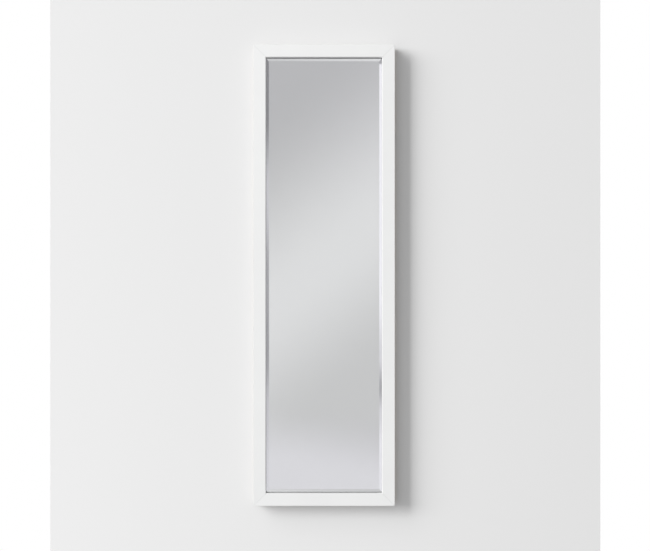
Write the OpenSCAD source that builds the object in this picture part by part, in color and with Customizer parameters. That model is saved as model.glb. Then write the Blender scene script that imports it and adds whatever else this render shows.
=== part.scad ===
// Full-length wall mirror. A mitred, rebated timber frame holds a bevelled mirror, which a
// filler board presses forward and a screwed panel closes in. Two strap hangers on the back
// carry it by swinging rings, and four bumpers keep it off the wall.
//
// Millimetres. Seen from the front, +X is right and +Z is up; +Y points at the wall.
// The origin lies in the wall plane, behind the middle of the mirror.

/* [Frame] */
// Outside width of the frame
frame_w = 467.5; // [300:0.5:800]
// Outside height of the frame
frame_h = 1524; // [700:1:2000]
// Depth of the moulding from its front face to its back face
frame_d = 25; // [23:0.5:45]
// Width of the moulding, from its outer edge to the sight edge
face_w = 42; // [40:0.5:70]
// Radius of the outer front arris
outer_arris_r = 1; // [0.5:0.5:4]
// Radius of the frame's outer corners, seen from the front
corner_r = 5; // [4.5:0.5:12]
// Width of the slope along the sight edge
slope_w = 2; // [1.5:0.5:5]
// Depth of the slope along the sight edge
slope_d = 2; // [1.5:0.5:5]
// Thickness of the lip in front of the mirror
lip_d = 10; // [6:0.5:12]
// Width of the mirror's rebate behind the lip
rebate_w = 7.5; // [6:0.5:9]
// Extra width of the rear rebate that takes the back panel
step_w = 9; // [8:0.5:11]
// Glue line between the mitred ends
mitre_gap = 0.12; // [0.05:0.01:0.3]

/* [Mirror] */
// Thickness of the glass
glass_t = 5; // [4:0.5:8]
// Width of the bevel ground round the glass
bevel_w = 15; // [8:0.5:30]
// Thickness left at the edge of the glass
edge_t = 2.2; // [1.5:0.1:3.8]
// Gap between the edge of the glass and its rebate
glass_gap = 1.5; // [0.8:0.1:2.5]
// Thickness of the silvering with its paint and safety film
coating_t = 0.3; // [0.2:0.05:0.6]

/* [Bedding] */
// Thickness of the bedding tape at the sight edge
tape_t = 0.6; // [0.3:0.1:1.5]
// Distance that the tape stays back from the sight edge
tape_inset = 0.5; // [0.2:0.1:1.5]
// Length of a setting block under the glass
block_l = 30; // [15:1:60]
// Distance of the setting blocks from the middle, each way
block_x = 95; // [40:1:120]
// Gap round the filler board
filler_gap = 1; // [0.5:0.5:3]
// Play between the filler board and the back panel
filler_play = 0.1; // [0.05:0.05:0.5]

/* [Back panel] */
// Thickness of the back panel
panel_t = 3; // [2:0.5:5]
// Gap round the back panel in its rebate
panel_gap = 0.5; // [0.2:0.1:1]
// Shank diameter of the panel screws
panel_screw_d = 3; // [2.5:0.1:3.5]
// Length of the panel screws under the head
panel_screw_l = 14; // [10:1:18]
// Head diameter of the panel screws
panel_head_d = 6; // [5:0.1:6.4]
// Head height of the panel screws
panel_head_h = 1.8; // [1.2:0.1:2.4]
// Wanted distance between panel screws
panel_pitch = 185; // [100:5:300]
// Distance of the end screws from the corners of the frame
screw_inset = 90; // [60:1:120]

/* [Corner wedges] */
// Length of one leg of a V-shaped wedge
wedge_leg = 7; // [5:0.5:8]
// Thickness of the wedge's steel
wedge_t = 0.6; // [0.4:0.1:1]
// How deep the wedges are driven in from the back
wedge_l = 15; // [8:0.5:20]
// Distance of the first wedge from the corner, both ways
wedge_start = 6; // [4:0.5:8]
// Step from one wedge to the next, both ways
wedge_step = 10; // [8.5:0.5:11]

/* [Hangers] */
// Height of the ring's axis below the top of the frame
hanger_drop = 300; // [150:1:500]
// Width of the strap
strap_w = 14; // [10:0.5:15]
// Length of the strap below the ring's axis
strap_l = 50; // [46:1:70]
// Thickness of one layer of the folded strap
strap_t = 0.8; // [0.6:0.05:0.9]
// Diameter of the ring's wire
wire_d = 2.6; // [2:0.1:2.8]
// Outside width of the ring
ring_w = 23.6; // [21:0.1:24]
// Radius of the ring's two upper bends, at the middle of the wire
ring_bend_r = 3; // [2.5:0.1:3.5]
// Straight length of each side of the ring
ring_side = 2; // [0.5:0.5:5]
// Radial play of the ring in the strap's eye
eye_play = 0.08; // [0.04:0.01:0.1]
// Distance from the ring's axis down to the first strap screw
strap_screw_z = 25; // [23:0.5:28]
// Distance between the two strap screws
strap_screw_pitch = 16; // [12:0.5:18]
// Shank diameter of the strap screws
strap_screw_d = 3.6; // [3:0.1:4]
// Length of the strap screws under the head
strap_screw_l = 17; // [12:1:20]
// Head diameter of the strap screws
strap_head_d = 7.4; // [6.5:0.1:8]
// Head height of the strap screws
strap_head_h = 2.3; // [1.6:0.1:2.6]

/* [Bumpers] */
// Height of a wall bumper
bumper_h = 5; // [4.8:0.1:8]
// Diameter of a bumper where it is stuck to the frame
bumper_d = 12; // [9:0.5:16]
// Diameter of a bumper's flat end at the wall, inside its rounded rim
bumper_end_d = 9.5; // [6:0.5:11.5]
// Distance of the bumpers from the top and the bottom of the frame
bumper_inset = 45; // [36:1:80]

/* [Hidden] */
$fn = 64;

// How far a cutting shape runs past the face that it cuts
past = 1;
// Play round a shank or a wedge in the hole that it fills
snug = 0.05;
// Play round a screw in the piece that its head holds down
clear_hole = 0.25;
// Rest distance of a ring from what it lies on
seat_gap = 0.25;

paint_white = [0.95, 0.95, 0.94];
glass_grey = [0.78, 0.82, 0.82];
silver_grey = [0.72, 0.73, 0.75];
tape_white = [0.88, 0.88, 0.86];
rubber_black = [0.12, 0.12, 0.12];
cardboard_brown = [0.66, 0.53, 0.38];
hardboard_brown = [0.45, 0.31, 0.19];
zinc = [0.72, 0.74, 0.76];
bumper_clear = [0.83, 0.83, 0.8];

// Planes across the depth, from the wall forward
back_y = -bumper_h;
front_y = back_y - frame_d;

// Width of the moulding's flat back face
back_w = face_w - rebate_w - step_w;

// The glass: how far the lip covers it, how far its bevel drops, and where its front lies
cover_w = rebate_w - glass_gap;
bevel_drop = glass_t - edge_t;
bevel_slope = bevel_drop / bevel_w;
glass_w = frame_w - 2 * (face_w - cover_w);
glass_h = frame_h - 2 * (face_w - cover_w);
edge_v = lip_d + tape_t + cover_w * bevel_slope;
glass_v = edge_v - bevel_drop;
coating_v = glass_v + glass_t;
filler_v = coating_v + coating_t;
panel_v = frame_d - panel_t;

// Hanger: the eye bent round the ring's wire, and the rest position of the ring
eye_r = wire_d / 2 + eye_play;
loop_r = eye_r + strap_t;
axis_x = frame_w / 2 - back_w / 2;
axis_y = back_y + loop_r;
axis_z = frame_h / 2 - hanger_drop;
ring_half = (ring_w - wire_d) / 2;
ring_drop = ring_bend_r + ring_side + ring_half;
ring_tilt = asin((2 * strap_t - loop_r + wire_d / 2 + seat_gap) / ring_drop);

// The four sides: turn about Y from the left side, half the span across, and the length
left_side = [0, frame_w / 2, frame_h];
right_side = [180, frame_w / 2, frame_h];
top_side = [90, frame_h / 2, frame_w];
bottom_side = [-90, frame_h / 2, frame_w];
SIDES = [left_side, right_side, top_side, bottom_side];

// Puts what is drawn on the left side onto any side. There, X runs inward from the outer
// edge of the frame, Y runs back from its front face, and Z runs along the side.
module on_side(side)
    rotate([0, side[0], 0])
        translate([-side[1], front_y, 0])
            children();

// A bar of the section given as its child, with both ends mitred at 45 degrees.
module mitred_bar(length) {
    tip = length / 2 - mitre_gap / sqrt(2);
    intersection() {
        linear_extrude(length, center = true) children();
        rotate([90, 0, 0])
            linear_extrude(3 * frame_d, center = true)
                polygon([[0, -tip], [face_w, face_w - tip], [face_w, tip - face_w], [0, tip]]);
    }
}

// What a quarter round of radius r leaves of the corner at the origin.
module arris_waste(r)
    difference() {
        translate([-past, -past]) square(r + past);
        translate([r, r]) circle(r);
    }

// What the rounding of a frame corner takes off, with the front arris carried round it. It is
// drawn as at_corner places it.
module corner_waste()
    difference() {
        translate([-past, -frame_d - past, -past])
            cube([corner_r + past, frame_d + 2 * past, corner_r + past]);
        translate([corner_r, past, corner_r])
            rotate([90, 0, 0])
                rotate_extrude()
                    difference() {
                        square([corner_r, frame_d + past]);
                        translate([corner_r, frame_d + past]) rotate(180)
                            arris_waste(outer_arris_r);
                    }
    }

// What the slope along the sight edge takes off the section of the moulding.
module sight_waste()
    let (fall = slope_d / slope_w)
        polygon([[face_w + past, -past], [face_w + past, slope_d + past * fall],
                 [face_w - slope_w - past / fall, -past]]);

// Section of the moulding: X is the distance in from the outer edge, Y the distance back.
module moulding_section()
    difference() {
        square([face_w, frame_d]);
        arris_waste(outer_arris_r);
        sight_waste();
        translate([face_w - rebate_w, lip_d]) square([rebate_w + past, frame_d]);
        translate([back_w, panel_v]) square([face_w, panel_t + past]);
    }

// Places of the panel screws along a side.
function screw_places(length) =
    let (run = length - 2 * screw_inset, gaps = max(1, round(run / panel_pitch)))
    [for (i = [0:gaps]) -run / 2 + i * run / gaps];

// Puts its child at each panel screw of a side, where the head meets the panel.
module at_panel_screws(side)
    on_side(side)
        for (z = screw_places(side[2]))
            translate([back_w + step_w / 2, frame_d, z]) children();

// Puts its child on the ring's axis at the left hanger (hand -1) or the right one (hand 1).
module at_hanger(hand)
    translate([hand * axis_x, axis_y, axis_z]) children();

// Puts its child at each strap screw of a hanger, where the head meets the strap.
module at_strap_screws(hand)
    at_hanger(hand)
        for (i = [0, 1])
            translate([0, 2 * strap_t - loop_r, -strap_screw_z - i * strap_screw_pitch])
                children();

// Puts its child at a corner of the frame's back: X and Z run inward, Y runs to the wall.
module at_corner(right, bottom)
    mirror([right, 0, 0])
        mirror([0, 0, bottom])
            translate([-frame_w / 2, back_y, frame_h / 2]) mirror([0, 0, 1]) children();

// A hole for a screw, from the plane under its head forward.
module screw_hole(d, length)
    rotate([90, 0, 0])
        translate([0, 0, -past]) cylinder(d = d, h = length + past);

// The outline of a screw that is turned about Y: pan head, shank and point.
module screw_profile(shank_d, shank_l, head_d, head_h) {
    point_l = 1.2 * shank_d;
    dome_r = (pow(head_d / 2, 2) + pow(head_h, 2)) / (2 * head_h);
    polygon([[0, 0], [0, -shank_l], [shank_d / 2, point_l - shank_l], [shank_d / 2, 0]]);
    intersection() {
        translate([0, head_h - dome_r]) circle(dome_r);
        square([head_d / 2, head_h]);
    }
}

// A pan-head screw with a cross recess, driven forward from the plane under its head.
module pan_screw(shank_d, shank_l, head_d, head_h) {
    recess_w = 0.18 * head_d;
    recess_l = 0.6 * head_d;
    rotate([-90, 0, 0])
        difference() {
            rotate_extrude() screw_profile(shank_d, shank_l, head_d, head_h);
            for (turn = [0, 90])
                rotate([0, 0, turn])
                    translate([-recess_l / 2, -recess_w / 2, 0.4 * head_h])
                        cube([recess_l, recess_w, head_h]);
        }
}

// The V-shaped steel wedges of one corner, driven in from the back along the mitre. They
// are drawn `play` larger all round for the pockets that they cut.
module corner_wedges(play = 0)
    for (i = [0, 1])
        let (at = wedge_start + i * wedge_step, near = at - play, far = at + wedge_leg + play,
             inner = at + wedge_t + play)
            rotate([90, 0, 0])
                translate([0, 0, -play])
                    linear_extrude(wedge_l + 2 * play)
                        polygon([[near, near], [far, near], [far, inner], [inner, inner],
                                 [inner, far], [near, far]]);

// One side of the timber frame, with pockets for the wedges and holes for the screws.
module frame_member(side)
    color(paint_white)
        difference() {
            on_side(side) mitred_bar(side[2]) moulding_section();
            for (right = [0, 1])
                for (bottom = [0, 1])
                    at_corner(right, bottom) {
                        corner_wedges(snug);
                        corner_waste();
                    }
            at_panel_screws(side) screw_hole(panel_screw_d + 2 * snug, panel_screw_l + snug);
            for (hand = [-1, 1])
                at_strap_screws(hand)
                    screw_hole(strap_screw_d + 2 * snug, strap_screw_l + snug);
        }

module stile_left() frame_member(left_side);
module stile_right() frame_member(right_side);
module rail_top() frame_member(top_side);
module rail_bottom() frame_member(bottom_side);

module wedge_set(right, bottom) color(zinc) at_corner(right, bottom) corner_wedges();
module wedges_top_left() wedge_set(0, 0);
module wedges_top_right() wedge_set(1, 0);
module wedges_bottom_left() wedge_set(0, 1);
module wedges_bottom_right() wedge_set(1, 1);

// What grinding takes off one edge: X runs in from the edge, Y back from the front face.
module bevel_waste()
    polygon([[-past, -past], [bevel_w + past / bevel_slope, -past],
             [-past, bevel_drop + past * bevel_slope]]);

// Float glass with a bevel ground along all four sides of its front.
module mirror_glass()
    color(glass_grey)
        difference() {
            translate([-glass_w / 2, front_y + glass_v, -glass_h / 2])
                cube([glass_w, glass_t, glass_h]);
            for (side = SIDES)
                on_side(side)
                    translate([face_w - cover_w, glass_v, 0])
                        linear_extrude(side[2], center = true) bevel_waste();
        }

// Silvering, paint and safety film on the back of the glass.
module mirror_coating()
    color(silver_grey)
        translate([-glass_w / 2, front_y + coating_v, -glass_h / 2])
            cube([glass_w, coating_t, glass_h]);

// Foam tape between the lip and the bevel, pressed to a wedge by the bevel's slope.
module bedding_tape(side)
    color(tape_white)
        on_side(side)
            mitred_bar(side[2])
                polygon([[face_w - cover_w, lip_d], [face_w - tape_inset, lip_d],
                         [face_w - tape_inset, edge_v - (cover_w - tape_inset) * bevel_slope],
                         [face_w - cover_w, edge_v]]);

module bedding_tape_left() bedding_tape(left_side);
module bedding_tape_right() bedding_tape(right_side);
module bedding_tape_top() bedding_tape(top_side);
module bedding_tape_bottom() bedding_tape(bottom_side);

// Rubber block in the bottom rebate that the edge of the glass stands on.
module setting_block(hand)
    color(rubber_black)
        translate([hand * block_x - block_l / 2, front_y + edge_v,
                   face_w - rebate_w - frame_h / 2])
            cube([block_l, edge_t, glass_gap]);

module setting_block_left() setting_block(-1);
module setting_block_right() setting_block(1);

// Corrugated board that fills the rebate between the mirror and the back panel.
module filler_board()
    let (edge = face_w - rebate_w + filler_gap, w = frame_w - 2 * edge, h = frame_h - 2 * edge)
        color(cardboard_brown)
            translate([-w / 2, front_y + filler_v, -h / 2])
                cube([w, panel_v - filler_play - filler_v, h]);

// Hardboard panel, flush with the back of the frame.
module back_panel()
    let (w = frame_w - 2 * (back_w + panel_gap), h = frame_h - 2 * (back_w + panel_gap))
        color(hardboard_brown)
            difference() {
                translate([-w / 2, front_y + panel_v, -h / 2]) cube([w, panel_t, h]);
                for (side = SIDES)
                    at_panel_screws(side)
                        screw_hole(panel_screw_d + 2 * clear_hole, panel_t + past);
            }

module panel_screws(side)
    color(zinc)
        at_panel_screws(side)
            pan_screw(panel_screw_d, panel_screw_l, panel_head_d, panel_head_h);

module panel_screws_left() panel_screws(left_side);
module panel_screws_right() panel_screws(right_side);
module panel_screws_top() panel_screws(top_side);
module panel_screws_bottom() panel_screws(bottom_side);

// Side view of the strap: a strip folded double round the ring's wire. X runs to the wall
// and Y up, both from the ring's axis.
module strap_section() {
    neck = 2 * loop_r;
    leave = -38;
    difference() {
        union() {
            circle(loop_r);
            translate([-loop_r, -strap_l]) square([2 * strap_t, strap_l]);
            polygon([[-loop_r, 0], [-loop_r, -neck], [2 * strap_t - loop_r, -neck],
                     loop_r * [cos(leave), sin(leave)], [0, 0]]);
        }
        circle(eye_r);
    }
}

// Front view of the strap, round at its lower end.
module strap_outline()
    translate([0, strap_w / 2 - strap_l]) {
        circle(d = strap_w);
        translate([-strap_w / 2, 0]) square([strap_w, strap_l]);
    }

module hanger_strap(hand)
    color(zinc)
        difference() {
            at_hanger(hand)
                intersection() {
                    rotate([90, 0, 90])
                        linear_extrude(strap_w, center = true) strap_section();
                    rotate([90, 0, 0])
                        linear_extrude(4 * loop_r, center = true) strap_outline();
                }
            at_strap_screws(hand)
                screw_hole(strap_screw_d + 2 * clear_hole, 2 * strap_t + past);
        }

module hanger_strap_left() hanger_strap(-1);
module hanger_strap_right() hanger_strap(1);

// Part of a wire hoop about Y: from +X it turns the given angle towards -Z.
module wire_arc(r, angle)
    rotate([-90, 0, 0])
        rotate_extrude(angle = angle)
            translate([r, 0]) circle(d = wire_d);

// The D-shaped ring, hanging down from the bar that the strap's eye holds.
module ring_shape() {
    bar = 2 * (ring_half - ring_bend_r);
    rotate([0, 90, 0]) cylinder(d = wire_d, h = bar, center = true);
    for (hand = [0, 1])
        mirror([hand, 0, 0]) {
            translate([bar / 2, 0, -ring_bend_r])
                mirror([0, 0, 1]) wire_arc(ring_bend_r, 90);
            translate([ring_half, 0, -ring_bend_r - ring_side])
                cylinder(d = wire_d, h = ring_side);
        }
    translate([0, 0, -ring_bend_r - ring_side]) wire_arc(ring_half, 180);
}

// Lying against the strap, as it hangs when no wall hook holds it.
module hanger_ring(hand)
    color(zinc)
        at_hanger(hand) rotate([ring_tilt, 0, 0]) ring_shape();

module hanger_ring_left() hanger_ring(-1);
module hanger_ring_right() hanger_ring(1);

module strap_screws(hand)
    color(zinc)
        at_strap_screws(hand)
            pan_screw(strap_screw_d, strap_screw_l, strap_head_d, strap_head_h);

module strap_screws_left() strap_screws(-1);
module strap_screws_right() strap_screws(1);

// Soft bumper on the back of a stile, with a rounded rim at its flat end that meets the wall.
module bumper(right, bottom)
    color(bumper_clear)
        at_corner(right, bottom)
            translate([back_w / 2, 0, bumper_inset])
                rotate([-90, 0, 0])
                    rotate_extrude()
                        difference() {
                            square([bumper_d / 2, bumper_h]);
                            translate([bumper_d / 2, bumper_h]) rotate(180)
                                arris_waste((bumper_d - bumper_end_d) / 2);
                        }

module bumper_top_left() bumper(0, 0);
module bumper_top_right() bumper(1, 0);
module bumper_bottom_left() bumper(0, 1);
module bumper_bottom_right() bumper(1, 1);

stile_left();
stile_right();
rail_top();
rail_bottom();
wedges_top_left();
wedges_top_right();
wedges_bottom_left();
wedges_bottom_right();
mirror_glass();
mirror_coating();
bedding_tape_left();
bedding_tape_right();
bedding_tape_top();
bedding_tape_bottom();
setting_block_left();
setting_block_right();
filler_board();
back_panel();
panel_screws_left();
panel_screws_right();
panel_screws_top();
panel_screws_bottom();
hanger_strap_left();
hanger_strap_right();
hanger_ring_left();
hanger_ring_right();
strap_screws_left();
strap_screws_right();
bumper_top_left();
bumper_top_right();
bumper_bottom_left();
bumper_bottom_right();
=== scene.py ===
"""A full-length wall mirror in a white mitred frame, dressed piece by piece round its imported
CAD model. Metres; +X is right and +Z is up seen from the front, and +Y points at the wall."""

import math

import bpy
import numpy as np
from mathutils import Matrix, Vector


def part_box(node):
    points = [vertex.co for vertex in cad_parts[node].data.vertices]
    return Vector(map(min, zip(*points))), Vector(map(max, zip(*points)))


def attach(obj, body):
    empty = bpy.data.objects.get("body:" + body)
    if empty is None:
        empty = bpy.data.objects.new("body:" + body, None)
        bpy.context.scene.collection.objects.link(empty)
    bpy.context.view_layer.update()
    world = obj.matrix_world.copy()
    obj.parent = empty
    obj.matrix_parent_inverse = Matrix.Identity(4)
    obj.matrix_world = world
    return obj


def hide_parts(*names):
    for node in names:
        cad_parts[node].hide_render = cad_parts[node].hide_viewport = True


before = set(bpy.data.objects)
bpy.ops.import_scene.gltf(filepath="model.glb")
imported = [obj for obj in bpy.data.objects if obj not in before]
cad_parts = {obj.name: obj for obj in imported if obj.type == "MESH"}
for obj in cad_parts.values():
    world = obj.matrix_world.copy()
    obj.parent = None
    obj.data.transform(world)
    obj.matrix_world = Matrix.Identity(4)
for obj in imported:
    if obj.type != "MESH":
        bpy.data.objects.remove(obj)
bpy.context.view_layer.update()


# The camera. A picture taken straight on from the height of the mirror's middle, on a
# frame 650 pixels wide in which the lens sees 681.3 pixels for each unit of tangent.
PICTURE_WIDTH = 650
FOCAL_PIXELS = 681.3
CAMERA_AT = (0.003, -2.280, -0.0007)

eye = bpy.data.cameras.new("camera")
eye.sensor_width = 36
eye.lens = eye.sensor_width * FOCAL_PIXELS / PICTURE_WIDTH
camera = bpy.data.objects.new("camera", eye)
camera.location = CAMERA_AT
camera.rotation_euler = (math.radians(90), 0, 0)
bpy.context.scene.collection.objects.link(camera)
bpy.context.scene.camera = camera
bpy.context.scene.view_settings.view_transform = "Standard"


# The wall and the floor. Smooth plaster in a neutral white matt emulsion, and a pale floor
# below the picture. Each shows from its front only, so the object's back can be looked at.
WALL_PAINT = "E9E9E9"
FLOOR_PAINT = "F0EFEC"
WALL_X = (-0.9167, 0.9246)
WALL_Y = 0.0005
WALL_TOP = 1.35
FLOOR_Z = -1.35
FLOOR_FRONT_Y = -1.9


def linear(code):
    """Linear colour of an sRGB hex code: a channel c becomes ((c + 0.055) / 1.055) ^ 2.4,
    or c / 12.92 where it is 0.04045 or less."""
    channels = [int(code[i:i + 2], 16) / 255 for i in (0, 2, 4)]
    return [((c + 0.055) / 1.055) ** 2.4 if c > 0.04045 else c / 12.92 for c in channels] + [1]


def add(tree, kind, inputs=(), **settings):
    """Adds one node: its settings, then its inputs, in their order or by name or number. Each
    is a value, a socket, or another node, which stands for its first output in use."""
    node = tree.nodes.new("ShaderNode" + kind)
    for name, value in settings.items():
        setattr(node, name, value)
    for name, value in inputs.items() if isinstance(inputs, dict) else enumerate(inputs):
        if isinstance(value, bpy.types.Node):
            value = next(output for output in value.outputs if output.enabled)
        if isinstance(value, bpy.types.NodeSocket):
            tree.links.new(value, node.inputs[name])
        else:
            node.inputs[name].default_value = value
    return node


def new_material(name):
    """A material with an empty node tree."""
    material = bpy.data.materials.new(name)
    material.use_nodes = True
    material.node_tree.nodes.clear()
    return material, material.node_tree


def mesh_object(name, points, faces, material):
    """An object at the origin from an array of points and lists of point numbers."""
    mesh = bpy.data.meshes.new(name)
    mesh.from_pydata(np.asarray(points, float).tolist(), [], faces)
    mesh.validate()
    mesh.materials.append(material)
    made = bpy.data.objects.new(name, mesh)
    bpy.context.scene.collection.objects.link(made)
    return made


def matt_paint(name, code):
    """Matt paint that shows from the front of a face and is clear from behind."""
    material, tree = new_material(name)
    paint = add(tree, "BsdfDiffuse", {"Color": linear(code)})
    clear = add(tree, "BsdfTransparent")
    behind = add(tree, "NewGeometry").outputs["Backfacing"]
    add(tree, "OutputMaterial", {"Surface": add(tree, "MixShader", (behind, paint, clear))})
    return material


wall = mesh_object("wall", [(x, WALL_Y, z) for z in (FLOOR_Z, WALL_TOP) for x in WALL_X],
                   [(0, 1, 3, 2)], matt_paint("wall_emulsion", WALL_PAINT))
floor = mesh_object("floor", [(x, y, FLOOR_Z) for y in (FLOOR_FRONT_Y, WALL_Y) for x in WALL_X],
                    [(0, 1, 3, 2)], matt_paint("floor_paint", FLOOR_PAINT))
# They take the object's shadow, but throw no shadow and no light on it, and the mirror shows
# the room below it, not this floor
for ground in (wall, floor):
    ground.visible_shadow = False
    ground.visible_diffuse = False
floor.visible_glossy = floor.visible_transmission = False


# Daylight. A tall window far off to the left, in six panes, lights the wall; its middle row
# is the brightest sky. Soft lamps nearer the front, and one behind the wall, light the object.
# The two members next to the window have a key of their own, which throws no glow on the wall.
WINDOW_DISTANCE = 12.5
# Pane columns and rows, as sideways and upward distance for each metre out from the wall
WINDOW_COLUMNS = (1.66, 2.5, 8.0)
WINDOW_ROWS = (0.1, 0.8, 1.8, 4.8)
COLUMN_LIGHT = (1.0, 1.1)
ROW_LIGHT = (1.0, 1.4, 0.5)
PANE_RADIANCE = 17.2
KEY_DISTANCE = 8.0
KEY_COLUMN, KEY_ROW = (0.8, 2.1), (0.5, 1.5)
KEY_RADIANCE = 16.7
NEAR_WINDOW = ("stile_left", "rail_top")
NEAR_KEY_COLUMN, NEAR_KEY_ROW = (0.4, 1.1), (0.4, 1.0)
NEAR_KEY_RADIANCE = 14.4
# Daylight thrown up from the floor in front, on the object and on the wall
BOUNCE_DISTANCE = 3.0
BOUNCE_COLUMN, BOUNCE_ROW = (-1.2, 1.2), (-1.3, -0.3)
BOUNCE_RADIANCE = 0.35
WALL_BOUNCE_COLUMN = (0.3, 2.7)
WALL_BOUNCE_RADIANCE = 0.46
BACK_LIGHT = 2.6
BACK_LIGHT_SPREAD = math.radians(35)
BACK_LIGHT_TURN = (math.radians(-70), 0, math.radians(-8))


def lit_group(name, members, left_out=False):
    """A collection for lamps that light these objects only or, left out, all others."""
    group = bpy.data.collections.new(name)
    for member in members:
        group.objects.link(member)
    for entry in group.collection_objects:
        entry.light_linking.link_state = "EXCLUDE" if left_out else "INCLUDE"
    return group


def lamp(name, kind, lights, **settings):
    """A lamp that lights the surfaces of one collection, and isn't seen itself, straight on
    or in the mirror."""
    light = bpy.data.lights.new(name, kind)
    for key, value in settings.items():
        setattr(light, key, value)
    made = bpy.data.objects.new(name, light)
    made.visible_camera = made.visible_glossy = made.visible_transmission = False
    made.light_linking.receiver_collection = lights
    bpy.context.scene.collection.objects.link(made)
    return made


def pane(name, lights, distance, sideways, upward, radiance):
    """A rectangular lamp parallel to the wall, that distance in front of it. sideways and
    upward are its reach, left and up, for each metre of that distance. A flat lamp of that
    radiance gives off pi times its area times the radiance."""
    (near, far), (low, high) = ([distance * t for t in reach] for reach in (sideways, upward))
    wide, tall = far - near, high - low
    made = lamp(name, "AREA", lights, shape="RECTANGLE", size=wide, size_y=tall,
                energy=math.pi * wide * tall * radiance)
    made.location = (-(near + far) / 2, -distance, (low + high) / 2)
    made.rotation_euler = (math.radians(90), 0, 0)


near_window = [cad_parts[name] for name in NEAR_WINDOW]
grounds = lit_group("wall_and_floor", [wall, floor])
all_but_grounds = lit_group("all_but_wall_and_floor", [wall, floor], left_out=True)
window_side = lit_group("window_side", near_window)
far_side = lit_group("all_but_window_side", [wall, floor] + near_window, left_out=True)

for column, column_light in enumerate(COLUMN_LIGHT):
    for row, row_light in enumerate(ROW_LIGHT):
        pane(f"window_pane_{column}_{row}", grounds, WINDOW_DISTANCE,
             WINDOW_COLUMNS[column:column + 2], WINDOW_ROWS[row:row + 2],
             PANE_RADIANCE * column_light * row_light)
pane("key", far_side, KEY_DISTANCE, KEY_COLUMN, KEY_ROW, KEY_RADIANCE)
pane("key_near_window", window_side, KEY_DISTANCE, NEAR_KEY_COLUMN, NEAR_KEY_ROW,
     NEAR_KEY_RADIANCE)
pane("floor_bounce", all_but_grounds, BOUNCE_DISTANCE, BOUNCE_COLUMN, BOUNCE_ROW,
     BOUNCE_RADIANCE)
pane("floor_bounce_on_wall", grounds, BOUNCE_DISTANCE, WALL_BOUNCE_COLUMN, BOUNCE_ROW,
     WALL_BOUNCE_RADIANCE)
back_light = lamp("back_light", "SUN", all_but_grounds, energy=BACK_LIGHT,
                  angle=BACK_LIGHT_SPREAD)
back_light.rotation_euler = BACK_LIGHT_TURN


# The room that the mirror shows. Grey levels by direction, out of focus: a dim ceiling,
# a wall lit in a slanting band, a paler floor, a bright side at left and a dim one at right.
# The light that the room gives the object is weaker from the right.
ROOM_LIGHT = 0.65
ROOM_LIGHT_LEAN = -0.7
ROOM_LIGHT_BEHIND, BEHIND_RISES = 0.15, (0.1, 0.8)
# A direction is taken as so far across and up for each metre out from the wall. One that goes
# less far out than this, for a length of 1, is taken to go this far
LEAST_OUT = 0.05
# Where a direction lies across the slanting band: across and up times these, and this more
SLANT_ACROSS, SLANT_UP, SLANT_START = 545.0, -700.0, 17.0
CEILING, LIT_WALL, LOW_WALL = 184, 220, 198
CEILING_EDGE, LOW_WALL_EDGE = (-200.0, 0.0), (10.0, 150.0)
FLOOR_RISE, FLOOR_EDGE, FLOOR_TILT = 18, (-0.20, -0.29), 0.2
# Each side's grey level at the top, and its changes on the way down: from and to that height
BRIGHT_SIDE_TOP, DIM_SIDE_TOP = 165, 136
BRIGHT_SIDE_CHANGES = ((0.314, 0.310, 78), (-0.03, -0.12, -28), (-0.12, -0.165, -47),
                       (-0.165, -0.205, 47), (-0.205, -0.25, 16))
DIM_SIDE_CHANGES = ((0.24, 0.13, 62), (0.10, 0.0, -31), (0.0, -0.11, -9),
                    (-0.11, -0.20, 37), (-0.20, -0.29, 15))
# How far to the side the sides begin, and how far they reach
SIDES_FROM, SIDES_TO = (0.092, 0.102), (0.24, 0.36)
BEHIND_THE_WALL, WALL_PLANE = 225, (-0.15, 0.05)
# What the glass and the silver leave of the light
MIRROR_KEEPS = 0.86
# The share of the room's light that the mirror throws on to the frame's inner edges
MIRROR_THROWS = 0.2
# The coolest that the shown room gets, which is at its sides, and how cool the rest is
COOL_LIGHT = (1.0, 0.985, 1.035, 1.0)
COOL_CEILING, COOL_CEILING_EDGE = 0.4, (0.05, 0.3)
COOL_FLOOR, COOL_FLOOR_EDGE = 0.65, (-0.18, -0.28)
COOL_BEYOND_SIDES = 0.3
# For a Map Range node that starts and ends gently. Its inputs are the value, from and to, and
# what these two become, which is 0 and 1 if it isn't given
SMOOTH = {"interpolation_type": "SMOOTHSTEP"}

world = bpy.data.worlds.new("room")
bpy.context.scene.world = world
world.use_nodes = True
room = world.node_tree
room.nodes.clear()
right, into, upward = add(room, "SeparateXYZ",
                          (add(room, "TexCoord").outputs["Generated"],)).outputs
out = add(room, "Math", (into, -1.0), operation="MULTIPLY")
out = add(room, "Math", (out, LEAST_OUT), operation="MAXIMUM")
across = add(room, "Math", (right, out), operation="DIVIDE")
up = add(room, "Math", (upward, out), operation="DIVIDE")

# The wall's slanting band and the floor
slant = add(room, "Math", (across, SLANT_ACROSS, SLANT_START), operation="MULTIPLY_ADD")
slant = add(room, "Math", (up, SLANT_UP, slant), operation="MULTIPLY_ADD")
level = add(room, "MapRange", (slant, *CEILING_EDGE, CEILING, LIT_WALL), **SMOOTH)
lower = add(room, "MapRange", (slant, *LOW_WALL_EDGE, 0.0, LOW_WALL - LIT_WALL), **SMOOTH)
level = add(room, "Math", (level, lower), operation="ADD")
floor_seen = add(room, "Math", (across, FLOOR_TILT, up), operation="MULTIPLY_ADD")
paler = add(room, "MapRange", (floor_seen, *FLOOR_EDGE, 0.0, FLOOR_RISE), **SMOOTH)
level = add(room, "Math", (level, paler), operation="ADD")

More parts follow.
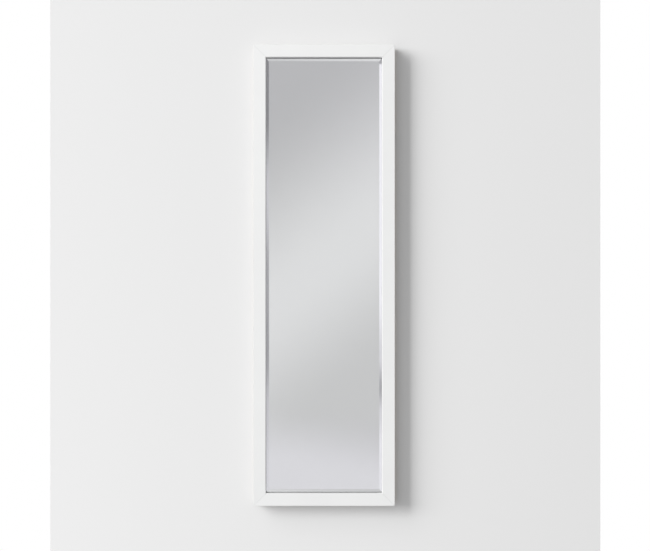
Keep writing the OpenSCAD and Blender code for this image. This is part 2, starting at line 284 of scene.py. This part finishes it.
# The two sides. A Mix node has its share at input 0 and its numbers at inputs 2 and 3
for side, changes, turned in ((BRIGHT_SIDE_TOP, BRIGHT_SIDE_CHANGES, -1),
                              (DIM_SIDE_TOP, DIM_SIDE_CHANGES, 1)):
    for start, end, change in changes:
        step = add(room, "MapRange", (up, start, end, 0.0, change), **SMOOTH)
        side = add(room, "Math", (side, step), operation="ADD")
    begins = add(room, "MapRange", (across, *[turned * reach for reach in SIDES_FROM]), **SMOOTH)
    ends = add(room, "MapRange", (across, *[turned * reach for reach in SIDES_TO], 1.0, 0.0),
               **SMOOTH)
    aside = add(room, "Math", (begins, ends), operation="MULTIPLY")
    level = add(room, "Mix", {0: aside, 2: level, 3: side}, data_type="FLOAT")
past_wall = add(room, "MapRange", (into, *WALL_PLANE), **SMOOTH)
level = add(room, "Mix", {0: past_wall, 2: level, 3: BEHIND_THE_WALL}, data_type="FLOAT")

# The grey level as linear light, by the formula in linear()
shown = add(room, "Math", (level, 1 / (255 * 1.055), 0.055 / 1.055), operation="MULTIPLY_ADD")
shown = add(room, "Math", (shown, 2.4), operation="POWER")
shown = add(room, "Math", (shown, MIRROR_KEEPS), operation="DIVIDE")

# The light that reaches the object straight from the room
frontal = add(room, "Math", (into, -ROOM_LIGHT), operation="MULTIPLY")
frontal = add(room, "Math", (frontal, 0.0), operation="MAXIMUM")
leaning = add(room, "Math", (right, ROOM_LIGHT_LEAN, 1.0), operation="MULTIPLY_ADD")
frontal = add(room, "Math", (frontal, leaning), operation="MULTIPLY")
behind = add(room, "MapRange", (into, *BEHIND_RISES, 0.0, ROOM_LIGHT_BEHIND), **SMOOTH)
around = add(room, "Math", (frontal, behind), operation="MAXIMUM")

# The mirror shows the one, matt surfaces take the other, and the background stays white
path = add(room, "LightPath").outputs
in_mirror = add(room, "Math", (path["Is Glossy Ray"], path["Is Transmission Ray"]),
                operation="MAXIMUM")
scattered = add(room, "Math", (path["Diffuse Depth"], 1.0), operation="MINIMUM")
thrown = add(room, "Math", (scattered, MIRROR_THROWS - 1, 1.0), operation="MULTIPLY_ADD")
shown = add(room, "Math", (shown, thrown), operation="MULTIPLY")
strength = add(room, "Mix", {0: in_mirror, 2: around, 3: shown}, data_type="FLOAT")
strength = add(room, "Mix", {0: path["Is Camera Ray"], 2: strength, 3: 1.0}, data_type="FLOAT")

# The cool tint of the ceiling, the floor and the sides. Colours are inputs 6 and 7 of Mix
aside = add(room, "Math", (across,), operation="ABSOLUTE")
cool = add(room, "MapRange", (up, *COOL_CEILING_EDGE, 0.0, COOL_CEILING), **SMOOTH)
cool_floor = add(room, "MapRange", (up, *COOL_FLOOR_EDGE, 0.0, COOL_FLOOR), **SMOOTH)
cool_sides = add(room, "MapRange", (aside, *SIDES_FROM), **SMOOTH)
cool = add(room, "Math", (cool, cool_floor), operation="MAXIMUM")
cool = add(room, "Math", (cool, cool_sides), operation="MAXIMUM")
fading = add(room, "MapRange", (aside, *SIDES_TO, 1.0, COOL_BEYOND_SIDES), **SMOOTH)
cool = add(room, "Math", (cool, fading), operation="MULTIPLY")
cool = add(room, "Math", (cool, in_mirror), operation="MULTIPLY")
tint = add(room, "Mix", {0: cool, 6: (1, 1, 1, 1), 7: COOL_LIGHT}, data_type="RGBA")
light = add(room, "Background", {"Color": tint, "Strength": strength})
add(room, "OutputWorld", {"Surface": light})


# The frame. Four lengths of finger-jointed pine moulding, mitred and glued, filled and
# sprayed with white satin lacquer. The back was laid face down, so it is bare wood with a
# mist of lacquer along its outer edges.
FRAME_HALF_W = -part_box("stile_left")[0].x
FRAME_HALF_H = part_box("rail_top")[1].z
FRAME_BACK_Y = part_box("stile_left")[1].y
LACQUER, LACQUER_SHADE, SHADE_PITCH = "F1F2F1", "EDEDED", 0.09
LACQUER_ROUGHNESS, GLOSS_PITCH = (0.34, 0.42), 0.035
# Orange peel of sprayed lacquer, about 1.5 mm from crest to crest and 6 microns high
PEEL_PITCH, PEEL_HEIGHT = 0.0015, 0.000006
# The lacquer ends this far in front of the back face
LACQUER_ENDS = (0.0004, 0.0010)
# The mist: how far in from the outer edges it fades, how patchy that is, and how dense
MIST_FADES, MIST_PATCHES, MIST_PITCH, MIST_DENSITY = (0.0125, 0.004), 0.010, 0.006, 0.9
# Hairline where the lacquer has sunk into each mitre
HAIRLINE, HAIRLINE_SHADE = 0.0003, "D8D9D8"
PINE_PALE, PINE_DARK, PINE_BLOCK = "DDBF92", "C29A66", "E8D2AC"
PINE_ROUGHNESS = 0.75
# Finger joints 0.38 m apart, with a jump of the rings and a change of tint at each
JOINT_PITCH, JOINT_JUMP, JOINT_TINT = 0.38, 0.37, 0.25
# Growth rings about 2.5 mm apart on the back face, crowded up to 16 mm out of place by turns,
# and fibres 0.4 mm apart. Along the grain they have only this share of their scale across it
RING_PITCH = 0.0025
RING_CROWDING, CROWDING_PITCH = 0.016, 0.011
FIBRE_PITCH = 0.0004
ALONG_GRAIN = 0.06
RING_SHARE = 0.55
# The grain stands this many times as high as the orange peel
GRAIN_HEIGHT = 8.0
# The period of a Wave texture of scale 1
WAVE_PERIOD = 0.314
# Noise keeps mostly between these
NOISE_SPAN = (0.3, 0.7)


def paint_nodes(material, *names):
    """Gives CAD nodes this material."""
    for name in names:
        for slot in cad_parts[name].material_slots:
            slot.material = material


def satin_lacquer_on_pine():
    """Satin nitro lacquer: soft white with a shallow orange peel that the roller-smooth
    primer shows through as slow changes of gloss. The grain runs along each side, so it
    turns at the mitres, which are where both distances to the outer edges are the same."""
    material, tree = new_material("satin_lacquer_on_pine")
    place = add(tree, "TexCoord").outputs["Object"]
    x, y, z = add(tree, "SeparateXYZ", (place,)).outputs
    from_middle_x = add(tree, "Math", (x,), operation="ABSOLUTE")
    from_middle_z = add(tree, "Math", (z,), operation="ABSOLUTE")
    side_x = add(tree, "Math", (FRAME_HALF_W, from_middle_x), operation="SUBTRACT")
    side_z = add(tree, "Math", (FRAME_HALF_H, from_middle_z), operation="SUBTRACT")
    is_rail = add(tree, "Math", (side_z, side_x), operation="LESS_THAN")
    from_edge = add(tree, "Math", (side_x, side_z), operation="MINIMUM")
    along = add(tree, "Mix", {0: is_rail, 2: z, 3: x}, data_type="FLOAT")
    across = add(tree, "Mix", {0: is_rail, 2: x, 3: z}, data_type="FLOAT")

    # Bare pine: growth rings that lie closer and wider apart by turns, as on a board that was
    # cut beside the pith, and fibres between them
    block = add(tree, "Math", (along, JOINT_PITCH), operation="DIVIDE")
    block = add(tree, "Math", (block,), operation="FLOOR")
    tint = add(tree, "TexWhiteNoise", {"W": block}, noise_dimensions="1D").outputs["Value"]
    shifted = add(tree, "Math", (tint, JOINT_JUMP, across), operation="MULTIPLY_ADD")
    drawn_out = add(tree, "Math", (along, ALONG_GRAIN), operation="MULTIPLY")
    stretched = add(tree, "CombineXYZ", (shifted, y, drawn_out))
    crowding = add(tree, "TexNoise", {"Vector": stretched, "Scale": 1 / CROWDING_PITCH})
    crowded = add(tree, "Math", (crowding, RING_CROWDING, shifted), operation="MULTIPLY_ADD")
    cut = add(tree, "CombineXYZ", (crowded, y, drawn_out))
    rings = add(tree, "TexWave", {"Vector": cut, "Scale": WAVE_PERIOD / RING_PITCH,
                                  "Distortion": 1.6, "Detail": 3.0, "Detail Scale": 1.2},
                wave_type="BANDS", bands_direction="X", wave_profile="SAW").outputs["Fac"]
    fibre = add(tree, "TexNoise", {"Vector": stretched, "Scale": 1 / FIBRE_PITCH, "Detail": 3.0})
    grain = add(tree, "Math", (fibre, 1 - RING_SHARE), operation="MULTIPLY")
    grain = add(tree, "Math", (rings, RING_SHARE, grain), operation="MULTIPLY_ADD")
    wood = add(tree, "Mix", {0: grain, 6: linear(PINE_PALE), 7: linear(PINE_DARK)},
               data_type="RGBA")
    change = add(tree, "Math", (tint, JOINT_TINT), operation="MULTIPLY")
    wood = add(tree, "Mix", {0: change, 6: wood, 7: linear(PINE_BLOCK)}, data_type="RGBA")

    # Lacquer on the front and the sides, and its mist on the back next to the outer edges
    patchy = add(tree, "TexNoise", {"Vector": place, "Scale": 1 / MIST_PITCH, "Detail": 3.0})
    mist = add(tree, "Math", (patchy, MIST_PATCHES, from_edge), operation="MULTIPLY_ADD")
    mist = add(tree, "MapRange", (mist, *MIST_FADES, 0.0, MIST_DENSITY), **SMOOTH)
    ends = [FRAME_BACK_Y - distance for distance in LACQUER_ENDS]
    coat = add(tree, "MapRange", (y, *ends), **SMOOTH)
    coat = add(tree, "Math", (coat, mist), operation="MAXIMUM")
    shade = add(tree, "TexNoise", {"Vector": place, "Scale": 1 / SHADE_PITCH})
    white = add(tree, "Mix", {0: shade, 6: linear(LACQUER), 7: linear(LACQUER_SHADE)},
                data_type="RGBA")
    from_mitre = add(tree, "Math", (side_x, side_z), operation="SUBTRACT")
    from_mitre = add(tree, "Math", (from_mitre,), operation="ABSOLUTE")
    hairline = add(tree, "MapRange", (from_mitre, 2 * HAIRLINE, HAIRLINE), **SMOOTH)
    white = add(tree, "Mix", {0: hairline, 6: white, 7: linear(HAIRLINE_SHADE)},
                data_type="RGBA")
    colour = add(tree, "Mix", {0: coat, 6: wood, 7: white}, data_type="RGBA")

    gloss = add(tree, "TexNoise", {"Vector": place, "Scale": 1 / GLOSS_PITCH, "Detail": 3.0})
    gloss = add(tree, "MapRange", (gloss, *NOISE_SPAN, *LACQUER_ROUGHNESS))
    rough = add(tree, "Mix", {0: coat, 2: PINE_ROUGHNESS, 3: gloss}, data_type="FLOAT")
    peel = add(tree, "TexNoise", {"Vector": place, "Scale": 1 / PEEL_PITCH, "Detail": 1.0})
    raised = add(tree, "Math", (grain, GRAIN_HEIGHT), operation="MULTIPLY")
    raised = add(tree, "Mix", {0: coat, 2: raised, 3: peel}, data_type="FLOAT")
    relief = add(tree, "Bump", {"Height": raised, "Distance": PEEL_HEIGHT})
    shader = add(tree, "BsdfPrincipled", {"Base Color": colour, "Roughness": rough, "IOR": 1.5,
                                          "Normal": relief})
    add(tree, "OutputMaterial", {"Surface": shader})
    return material


paint_nodes(satin_lacquer_on_pine(), "stile_left", "stile_right", "rail_top", "rail_bottom")


# The corner wedges. V-shaped blued spring-steel strips driven in across each mitre from
# the back, where their edges stay in sight, bright where the punch pressed them home.
STEEL_BRIGHT, STEEL_BLUED, STEEL_ROUGHNESS = "8D9196", "6C7076", (0.32, 0.5)
# Lines of the rolling mill, about 0.3 mm apart and 10 microns deep
ROLLING_PITCH, ROLLING_DEPTH = 0.0003, 0.00001


def blued_spring_steel():
    """Rolled strip, blued by its tempering: dark, with fine lines along the V."""
    material, tree = new_material("blued_spring_steel")
    place = add(tree, "TexCoord").outputs["Object"]
    lines = add(tree, "TexNoise", {"Vector": place, "Scale": 1 / ROLLING_PITCH, "Detail": 4.0})
    colour = add(tree, "Mix", {0: lines, 6: linear(STEEL_BRIGHT), 7: linear(STEEL_BLUED)},
                 data_type="RGBA")
    rough = add(tree, "MapRange", (lines, *NOISE_SPAN, *STEEL_ROUGHNESS))
    relief = add(tree, "Bump", {"Height": lines, "Distance": ROLLING_DEPTH})
    shader = add(tree, "BsdfPrincipled", {"Base Color": colour, "Metallic": 1.0,
                                          "Roughness": rough, "Normal": relief})
    add(tree, "OutputMaterial", {"Surface": shader})
    return material


paint_nodes(blued_spring_steel(), "wedges_top_left", "wedges_top_right",
            "wedges_bottom_left", "wedges_bottom_right")


# The mirror. 5 mm float glass, its four edges ground and polished to a 15 mm bevel, with
# silver deposited on the back under copper-free paint and a safety film.
GLASS_TINT = "FCFCFC"
# Wiping leaves a film that is far too thin to see straight on and dulls the gloss a little
FILM_PITCH, FILM_SPAN, FILM_ROUGHNESS = 0.12, (0.45, 0.75), (0.0, 0.006)
SILVER = "F4F5F6"
BACKING_PAINT, BACKING_THREAD, BACKING_ROUGHNESS = "6F767B", "7C8489", 0.5
# The safety film is woven, about 0.6 mm from thread to thread
THREAD_PITCH = 0.0006
# The silver lies this far behind the glass, so that the two never share one plane
SILVER_GAP = 0.00002


def float_glass():
    """Polished float glass: clear, with the least green, and no texture of its own."""
    material, tree = new_material("float_glass")
    place = add(tree, "TexCoord").outputs["Object"]
    film = add(tree, "TexNoise", {"Vector": place, "Scale": 1 / FILM_PITCH})
    film = add(tree, "MapRange", (film, *FILM_SPAN, *FILM_ROUGHNESS))
    shader = add(tree, "BsdfPrincipled", {"Base Color": linear(GLASS_TINT), "Roughness": film,
                                          "IOR": 1.52, "Transmission Weight": 1.0})
    add(tree, "OutputMaterial", {"Surface": shader})
    return material


def silver_and_backing():
    """Chemically deposited silver on the face that looks forward, and grey paint under the
    safety film on the face that looks back. Its weave is a sine across times one upward."""
    material, tree = new_material("silver_and_backing")
    place = add(tree, "TexCoord").outputs["Object"]
    x, _, z = add(tree, "SeparateXYZ", (place,)).outputs
    turns_x = add(tree, "Math", (x, 2 * math.pi / THREAD_PITCH), operation="MULTIPLY")
    turns_z = add(tree, "Math", (z, 2 * math.pi / THREAD_PITCH), operation="MULTIPLY")
    threads_x = add(tree, "Math", (turns_x,), operation="SINE")
    threads_z = add(tree, "Math", (turns_z,), operation="SINE")
    threads = add(tree, "Math", (threads_x, threads_z), operation="MULTIPLY")
    threads = add(tree, "Math", (threads, 0.5, 0.5), operation="MULTIPLY_ADD")
    paint = add(tree, "Mix", {0: threads, 6: linear(BACKING_PAINT), 7: linear(BACKING_THREAD)},
                data_type="RGBA")
    normal = add(tree, "NewGeometry").outputs["Normal"]
    backward = add(tree, "SeparateXYZ", (normal,)).outputs[1]
    forward = add(tree, "Math", (backward, -0.5), operation="LESS_THAN")
    colour = add(tree, "Mix", {0: forward, 6: paint, 7: linear(SILVER)}, data_type="RGBA")
    rough = add(tree, "Mix", {0: forward, 2: BACKING_ROUGHNESS, 3: 0.0}, data_type="FLOAT")
    shader = add(tree, "BsdfPrincipled", {"Base Color": colour, "Metallic": forward,
                                          "Roughness": rough})
    add(tree, "OutputMaterial", {"Surface": shader})
    return material


def block_points(low, high):
    """The eight corners of a block, which are each low or high on each axis, and its six
    faces turned outward."""
    axes = np.meshgrid(*zip(low, high), indexing="ij")
    faces = [(0, 1, 3, 2), (4, 6, 7, 5), (0, 4, 5, 1), (2, 3, 7, 6), (0, 2, 6, 4), (1, 5, 7, 3)]
    return np.stack(axes, axis=-1).reshape(-1, 3), faces


paint_nodes(float_glass(), "mirror_glass")
low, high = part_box("mirror_coating")
silver = mesh_object("silver_sheet", *block_points((low.x, low.y + SILVER_GAP, low.z), high),
                     silver_and_backing())
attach(silver, "mirror")
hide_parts("mirror_coating")


# The bedding tape and the setting blocks. White closed-cell foam tape keeps the glass off
# the lip, and two black rubber blocks in the bottom rebate carry its weight.
FOAM_DARK, FOAM_PALE, FOAM_ROUGHNESS = "D9D9D5", "ECECE8", 0.85
# Cells about 0.4 mm across and 0.1 mm deep
CELL_SIZE, CELL_DEPTH = 0.0004, 0.0001
RUBBER_BLACK, RUBBER_BLOOM, RUBBER_ROUGHNESS = "1E1E1F", "333334", (0.6, 0.8)
BLOOM_PITCH, BLOOM_HEIGHT = 0.002, 0.00003


def foam_tape():
    """Closed-cell polyethylene foam: matt, pitted with its cells."""
    material, tree = new_material("white_foam_tape")
    place = add(tree, "TexCoord").outputs["Object"]
    cells = add(tree, "TexVoronoi", {"Vector": place, "Scale": 1 / CELL_SIZE}).outputs["Distance"]
    colour = add(tree, "Mix", {0: cells, 6: linear(FOAM_DARK), 7: linear(FOAM_PALE)},
                 data_type="RGBA")
    relief = add(tree, "Bump", {"Height": cells, "Distance": CELL_DEPTH})
    shader = add(tree, "BsdfPrincipled", {"Base Color": colour, "Roughness": FOAM_ROUGHNESS,
                                          "Normal": relief})
    add(tree, "OutputMaterial", {"Surface": shader})
    return material


def extruded_rubber():
    """Extruded EPDM cut to length: near black, matt, with a bloom on its faces."""
    material, tree = new_material("black_epdm_rubber")
    place = add(tree, "TexCoord").outputs["Object"]
    bloom = add(tree, "TexNoise", {"Vector": place, "Scale": 1 / BLOOM_PITCH, "Detail": 4.0})
    colour = add(tree, "Mix", {0: bloom, 6: linear(RUBBER_BLACK), 7: linear(RUBBER_BLOOM)},
                 data_type="RGBA")
    rough = add(tree, "MapRange", (bloom, *NOISE_SPAN, *RUBBER_ROUGHNESS), **SMOOTH)
    relief = add(tree, "Bump", {"Height": bloom, "Distance": BLOOM_HEIGHT})
    shader = add(tree, "BsdfPrincipled", {"Base Color": colour, "Roughness": rough, "IOR": 1.5,
                                          "Normal": relief})
    add(tree, "OutputMaterial", {"Surface": shader})
    return material


paint_nodes(foam_tape(), "bedding_tape_left", "bedding_tape_right", "bedding_tape_top",
            "bedding_tape_bottom")
paint_nodes(extruded_rubber(), "setting_block_left", "setting_block_right")


# The filler board. Corrugated board cut to the rebate, whose flutes run upright. Their washboard
# lines are set in faint relief and also painted into the brown liner's colour as shade.
KRAFT_PALE, KRAFT_DARK, KRAFT_ROUGHNESS = "C9A778", "A98455", 0.85
# Flutes 6.6 mm apart, the share of painted shade that they give the colour, and their relief
FLUTE_PITCH, FLUTE_PAINTED_SHADE, FLUTE_DEPTH = 0.0066, 0.15, 0.00006
KRAFT_FIBRE_PITCH = 0.0012


def corrugated_board():
    """Kraft liner over flutes 6.6 mm apart: matt brown with fibres and painted washboard shade.
    """
    material, tree = new_material("corrugated_kraft_board")
    place = add(tree, "TexCoord").outputs["Object"]
    x = add(tree, "SeparateXYZ", (place,)).outputs[0]
    flutes = add(tree, "Math", (x, 2 * math.pi / FLUTE_PITCH), operation="MULTIPLY")
    flutes = add(tree, "Math", (flutes,), operation="SINE")
    fibres = add(tree, "TexNoise", {"Vector": place, "Scale": 1 / KRAFT_FIBRE_PITCH,
                                    "Detail": 5.0, "Roughness": 0.7})
    # The flutes' sine is painted shade, laid over the real tone of the fibres
    shade = add(tree, "Math", (flutes, FLUTE_PAINTED_SHADE, fibres), operation="MULTIPLY_ADD")
    colour = add(tree, "Mix", {0: shade, 6: linear(KRAFT_PALE), 7: linear(KRAFT_DARK)},
                 data_type="RGBA")
    relief = add(tree, "Bump", {"Height": flutes, "Distance": FLUTE_DEPTH})
    shader = add(tree, "BsdfPrincipled", {"Base Color": colour, "Roughness": KRAFT_ROUGHNESS,
                                          "Normal": relief})
    add(tree, "OutputMaterial", {"Surface": shader})
    return material


paint_nodes(corrugated_board(), "filler_board")


# The back panel. 3 mm hardboard, its smooth face outward, pressed from steamed wood
# fibre and tempered, so that it is brown and mottled with a dull polish.
BOARD_DARK, BOARD_PALE, BOARD_ROUGHNESS = "86613F", "9A7550", (0.42, 0.56)
CLOUD_PITCH = 0.07
# Fibres about 1 mm long
BOARD_FIBRE, BOARD_FIBRE_PITCH, BOARD_FIBRE_SPAN = "76543A", 0.0011, (0.35, 0.7)
BOARD_FIBRE_HEIGHT = 0.00003
# Flecks of bark, a few and pale
BARK, BARK_PITCH, BARK_SPAN, BARK_SHARE = "A98560", 0.0026, (0.68, 0.76), 0.6


def tempered_hardboard():
    """Fibres in slow clouds of colour, and a few pale flecks of bark."""
    material, tree = new_material("tempered_hardboard")
    place = add(tree, "TexCoord").outputs["Object"]
    clouds = add(tree, "TexNoise", {"Vector": place, "Scale": 1 / CLOUD_PITCH, "Detail": 5.0,
                                    "Roughness": 0.65})
    colour = add(tree, "Mix", {0: clouds, 6: linear(BOARD_DARK), 7: linear(BOARD_PALE)},
                 data_type="RGBA")
    fibres = add(tree, "TexNoise", {"Vector": place, "Scale": 1 / BOARD_FIBRE_PITCH,
                                    "Detail": 5.0, "Roughness": 0.75})
    dark = add(tree, "MapRange", (fibres, *BOARD_FIBRE_SPAN), **SMOOTH)
    colour = add(tree, "Mix", {0: dark, 6: colour, 7: linear(BOARD_FIBRE)}, data_type="RGBA")
    flecks = add(tree, "TexNoise", {"Vector": place, "Scale": 1 / BARK_PITCH})
    flecks = add(tree, "MapRange", (flecks, *BARK_SPAN, 0.0, BARK_SHARE), **SMOOTH)
    colour = add(tree, "Mix", {0: flecks, 6: colour, 7: linear(BARK)}, data_type="RGBA")
    rough = add(tree, "MapRange", (clouds, *NOISE_SPAN, *BOARD_ROUGHNESS))
    relief = add(tree, "Bump", {"Height": fibres, "Distance": BOARD_FIBRE_HEIGHT})
    shader = add(tree, "BsdfPrincipled", {"Base Color": colour, "Roughness": rough,
                                          "Normal": relief})
    add(tree, "OutputMaterial", {"Surface": shader})
    return material


paint_nodes(tempered_hardboard(), "back_panel")


# The screws, straps and rings. Steel, zinc plated and passivated: pressed pan-head screws
# with a cross recess, a strap folded double round each ring, and the ring bent from wire.
ZINC, ZINC_ROUGHNESS = "CDD1D4", (0.22, 0.34)
# Clouds of the passivation, and marks of handling about 1.5 mm long and 3 microns deep
PASSIVATION_PITCH = 0.006
MARK_PITCH, MARK_DEPTH = 0.0015, 0.000003


def zinc_plate(name, brushing, tint):
    """Bright zinc over steel: a cold grey with a thin yellow-blue passivation in clouds, and
    marks of handling that run the way that the piece was worked. brushing stretches those
    marks, as how many times finer they are along X, Y and Z."""
    material, tree = new_material(name)
    place = add(tree, "TexCoord").outputs["Object"]
    clouds = add(tree, "TexNoise", {"Vector": place, "Scale": 1 / PASSIVATION_PITCH})
    colour = add(tree, "Mix", {0: clouds, 6: linear(ZINC), 7: linear(tint)}, data_type="RGBA")
    worked = add(tree, "Mapping", {"Vector": place, "Scale": brushing})
    marks = add(tree, "TexNoise", {"Vector": worked, "Scale": 1 / MARK_PITCH, "Detail": 4.0,
                                   "Roughness": 0.65})
    rough = add(tree, "MapRange", (marks, *NOISE_SPAN, *ZINC_ROUGHNESS))
    relief = add(tree, "Bump", {"Height": marks, "Distance": MARK_DEPTH})
    shader = add(tree, "BsdfPrincipled", {"Base Color": colour, "Metallic": 1.0,
                                          "Roughness": rough, "Normal": relief})
    add(tree, "OutputMaterial", {"Surface": shader})
    return material


paint_nodes(zinc_plate("zinc_plated_screws", (3.0, 1.0, 3.0), "D6D3C4"),
            "panel_screws_left", "panel_screws_right", "panel_screws_top",
            "panel_screws_bottom", "strap_screws_left", "strap_screws_right")
paint_nodes(zinc_plate("zinc_plated_strap", (8.0, 1.0, 1.0), "C9CCCF"),
            "hanger_strap_left", "hanger_strap_right")
paint_nodes(zinc_plate("zinc_plated_wire", (1.0, 1.0, 1.0), "D3D2CB"),
            "hanger_ring_left", "hanger_ring_right")


# The wall bumpers. Self-adhesive drops of soft milky polyurethane, a little yellow with
# age, one near each end of both stiles.
BUMPER_PALE, BUMPER_YELLOWED, BUMPER_ROUGHNESS = "EFEDE2", "E4E1D2", (0.18, 0.3)
HAZE_PITCH = 0.003


def milky_polyurethane():
    """Cast polyurethane, cloudy over its white glue: light goes a little way in, and its
    skin is smooth and soft."""
    material, tree = new_material("milky_polyurethane")
    place = add(tree, "TexCoord").outputs["Object"]
    haze = add(tree, "TexNoise", {"Vector": place, "Scale": 1 / HAZE_PITCH, "Detail": 3.0})
    colour = add(tree, "Mix", {0: haze, 6: linear(BUMPER_PALE), 7: linear(BUMPER_YELLOWED)},
                 data_type="RGBA")
    rough = add(tree, "MapRange", (haze, *NOISE_SPAN, *BUMPER_ROUGHNESS))
    shader = add(tree, "BsdfPrincipled", {"Base Color": colour, "Roughness": rough,
                                          "IOR": 1.48, "Transmission Weight": 0.2})
    add(tree, "OutputMaterial", {"Surface": shader})
    return material


paint_nodes(milky_polyurethane(), "bumper_top_left", "bumper_top_right",
            "bumper_bottom_left", "bumper_bottom_right")
